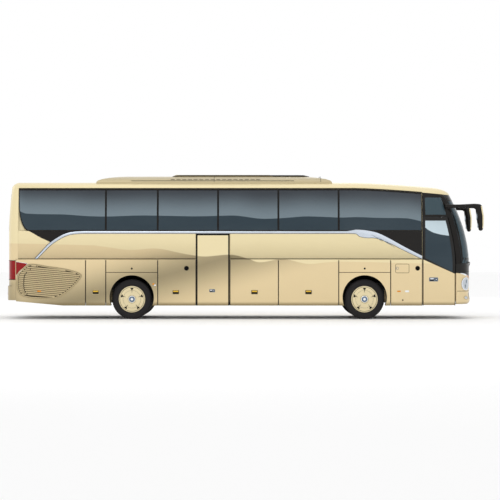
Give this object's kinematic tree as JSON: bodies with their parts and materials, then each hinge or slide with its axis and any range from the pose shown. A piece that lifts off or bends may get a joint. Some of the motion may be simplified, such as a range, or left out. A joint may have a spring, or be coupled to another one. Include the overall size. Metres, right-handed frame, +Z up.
{
  "type": "high-deck coach bus",
  "caption": "Two-axle high-deck touring coach with two doors, luggage flaps, engine lid, steered front wheels, seats and roof climate unit",
  "frame": {"origin": "on the floor under the middle of the overall length, midway across", "axes": "+X points forwards, +Y to the left, +Z up"},
  "size_m": [12.5418, 2.613, 3.807],
  "materials": {
    "champagne": "champagne metallic paint, slightly darker towards the skirt",
    "frame_black": "black chassis paint",
    "window": "tinted glass",
    "black_trim": "gloss black",
    "lamp_clear": "clear lens over chromed reflector",
    "lamp_red": "red lens",
    "floor_cover": "grey ribbed floor cover",
    "cast": "painted black",
    "spring_rubber": "black rubber bellows",
    "engine_metal": "grey cast iron",
    "seat_cloth": "blue-grey woven cloth",
    "dash_plastic": "dark grained plastic",
    "cover_paint": "champagne wheel covers",
    "tyre_rubber": "black tyre rubber"
  },
  "bodies": {
    "coach": {"hold_tray": "frame_black", "front_frame": "frame_black", "rear_frame": "frame_black", "deck": "floor_cover", "steps": "floor_cover", "right_side": "champagne", "left_side": "champagne", "roof": "champagne", "side_windows": "window", "front_panel": "champagne", "front_bumper": "champagne", "windscreen": "window", "front_pillars": "black_trim", "front_side_windows": "window", "driver_side_panel": "champagne", "rear_end": "champagne", "rear_bumper": "champagne", "rear_window": "window", "skirts": "champagne", "climate_unit": "champagne", "head_lamps": "lamp_clear", "tail_lamps": "lamp_red", "mirrors": "black_trim", "wipers": "black_trim", "wheel_housings": "frame_black", "front_axle": "frame_black", "rear_axle": "frame_black", "air_springs": "spring_rubber", "engine": "engine_metal", "seats": "seat_cloth", "dashboard": "dash_plastic", "steering_wheel": "dash_plastic"},
    "right_rear_flap": {"right_rear_flap": "champagne"},
    "right_middle_flap": {"right_middle_flap": "champagne"},
    "right_front_flap": {"right_front_flap": "champagne"},
    "right_service_flap": {"right_service_flap": "champagne"},
    "right_engine_flap": {"right_engine_flap": "champagne"},
    "left_rear_flap": {"left_rear_flap": "champagne"},
    "left_middle_flap": {"left_middle_flap": "champagne"},
    "left_front_flap": {"left_front_flap": "champagne"},
    "left_service_flap": {"left_service_flap": "champagne"},
    "left_engine_flap": {"left_engine_flap": "champagne"},
    "engine_lid": {"engine_lid": "champagne"},
    "door_arms": {"front_door_post": "cast"},
    "entrance_door": {"front_door": "champagne", "front_door_glass": "window"},
    "mid_door": {"middle_door": "champagne"},
    "right_steering": {"right_knuckle": "cast"},
    "left_steering": {"left_knuckle": "cast"},
    "track_rod": {"tie_rod": "cast"},
    "front_right_wheel": {"front_right_rim": "cover_paint", "front_right_tyre": "tyre_rubber"},
    "front_left_wheel": {"front_left_rim": "cover_paint", "front_left_tyre": "tyre_rubber"},
    "rear_right_wheels": {"rear_right_rims": "cover_paint", "rear_right_tyres": "tyre_rubber"},
    "rear_left_wheels": {"rear_left_rims": "cover_paint", "rear_left_tyres": "tyre_rubber"}
  },
  "joints": [
    {"name": "right_rear_flap_hinge", "type": "hinge", "parent": "coach", "child": "right_rear_flap", "pos_m": [-1.7815, -1.269, 1.561], "axis": [-1, 0, 0], "range_deg": [0, 95]},
    {"name": "right_middle_flap_hinge", "type": "hinge", "parent": "coach", "child": "right_middle_flap", "pos_m": [0.24467, -1.269, 1.561], "axis": [-1, 0, 0], "range_deg": [0, 95]},
    {"name": "right_front_flap_hinge", "type": "hinge", "parent": "coach", "child": "right_front_flap", "pos_m": [1.66917, -1.269, 1.561], "axis": [-1, 0, 0], "range_deg": [0, 95]},
    {"name": "right_service_flap_hinge", "type": "hinge", "parent": "coach", "child": "right_service_flap", "pos_m": [-3.9075, -1.269, 1.561], "axis": [-1, 0, 0], "range_deg": [0, 95]},
    {"name": "right_engine_flap_hinge", "type": "hinge", "parent": "coach", "child": "right_engine_flap", "pos_m": [-5.087, -1.269, 1.561], "axis": [-1, 0, 0], "range_deg": [0, 95]},
    {"name": "left_rear_flap_hinge", "type": "hinge", "parent": "coach", "child": "left_rear_flap", "pos_m": [-1.49217, 1.269, 1.561], "axis": [1, 0, 0], "range_deg": [0, 95]},
    {"name": "left_middle_flap_hinge", "type": "hinge", "parent": "coach", "child": "left_middle_flap", "pos_m": [0.0885, 1.269, 1.561], "axis": [1, 0, 0], "range_deg": [0, 95]},
    {"name": "left_front_flap_hinge", "type": "hinge", "parent": "coach", "child": "left_front_flap", "pos_m": [1.66917, 1.269, 1.561], "axis": [1, 0, 0], "range_deg": [0, 95]},
    {"name": "left_service_flap_hinge", "type": "hinge", "parent": "coach", "child": "left_service_flap", "pos_m": [-3.9075, 1.269, 1.561], "axis": [1, 0, 0], "range_deg": [0, 95]},
    {"name": "left_engine_flap_hinge", "type": "hinge", "parent": "coach", "child": "left_engine_flap", "pos_m": [-5.087, 1.269, 1.561], "axis": [1, 0, 0], "range_deg": [0, 95]},
    {"name": "engine_lid_hinge", "type": "hinge", "parent": "coach", "child": "engine_lid", "pos_m": [-6.2345, 0, 1.947], "axis": [0, 1, 0], "range_deg": [0, 85]},
    {"name": "entrance_door_swing", "type": "hinge", "parent": "coach", "child": "door_arms", "pos_m": [5.4205, -1, 1.1], "axis": [0, 0, 1], "range_deg": [0, 111]},
    {"name": "entrance_door_follow", "type": "hinge", "parent": "door_arms", "child": "entrance_door", "pos_m": [4.9805, -1.19, 1.1], "axis": [0, 0, 1], "range_deg": [-111, 0]},
    {"name": "mid_door_hinge", "type": "hinge", "parent": "coach", "child": "mid_door", "pos_m": [-0.4005, -1.269, 1.3], "axis": [0, 0, 1], "range_deg": [0, 90]},
    {"name": "right_steer", "type": "hinge", "parent": "coach", "child": "right_steering", "pos_m": [3.1395, -0.93, 0.522], "axis": [0, 0, 1], "range_deg": [-45, 45]},
    {"name": "left_steer", "type": "hinge", "parent": "coach", "child": "left_steering", "pos_m": [3.1395, 0.93, 0.522], "axis": [0, 0, 1], "range_deg": [-45, 45]},
    {"name": "track_rod_pin", "type": "hinge", "parent": "right_steering", "child": "track_rod", "pos_m": [2.9195, -0.93, 0.522], "axis": [0, 0, 1], "range_deg": [-45, 45]},
    {"name": "front_right_wheel_spin", "type": "hinge", "parent": "right_steering", "child": "front_right_wheel", "pos_m": [3.1395, -1.05, 0.522], "axis": [0, 1, 0], "continuous": true},
    {"name": "front_left_wheel_spin", "type": "hinge", "parent": "left_steering", "child": "front_left_wheel", "pos_m": [3.1395, 1.05, 0.522], "axis": [0, 1, 0], "continuous": true},
    {"name": "rear_right_wheels_spin", "type": "hinge", "parent": "coach", "child": "rear_right_wheels", "pos_m": [-2.9625, -1.05, 0.522], "axis": [0, 1, 0], "continuous": true},
    {"name": "rear_left_wheels_spin", "type": "hinge", "parent": "coach", "child": "rear_left_wheels", "pos_m": [-2.9625, 1.05, 0.522], "axis": [0, 1, 0], "continuous": true}
  ],
  "couplings": [
    {"joint": "entrance_door_follow", "follows": "entrance_door_swing", "ratio": -1},
    {"joint": "left_steer", "follows": "right_steer", "ratio": 1},
    {"joint": "track_rod_pin", "follows": "right_steer", "ratio": -1}
  ]
}
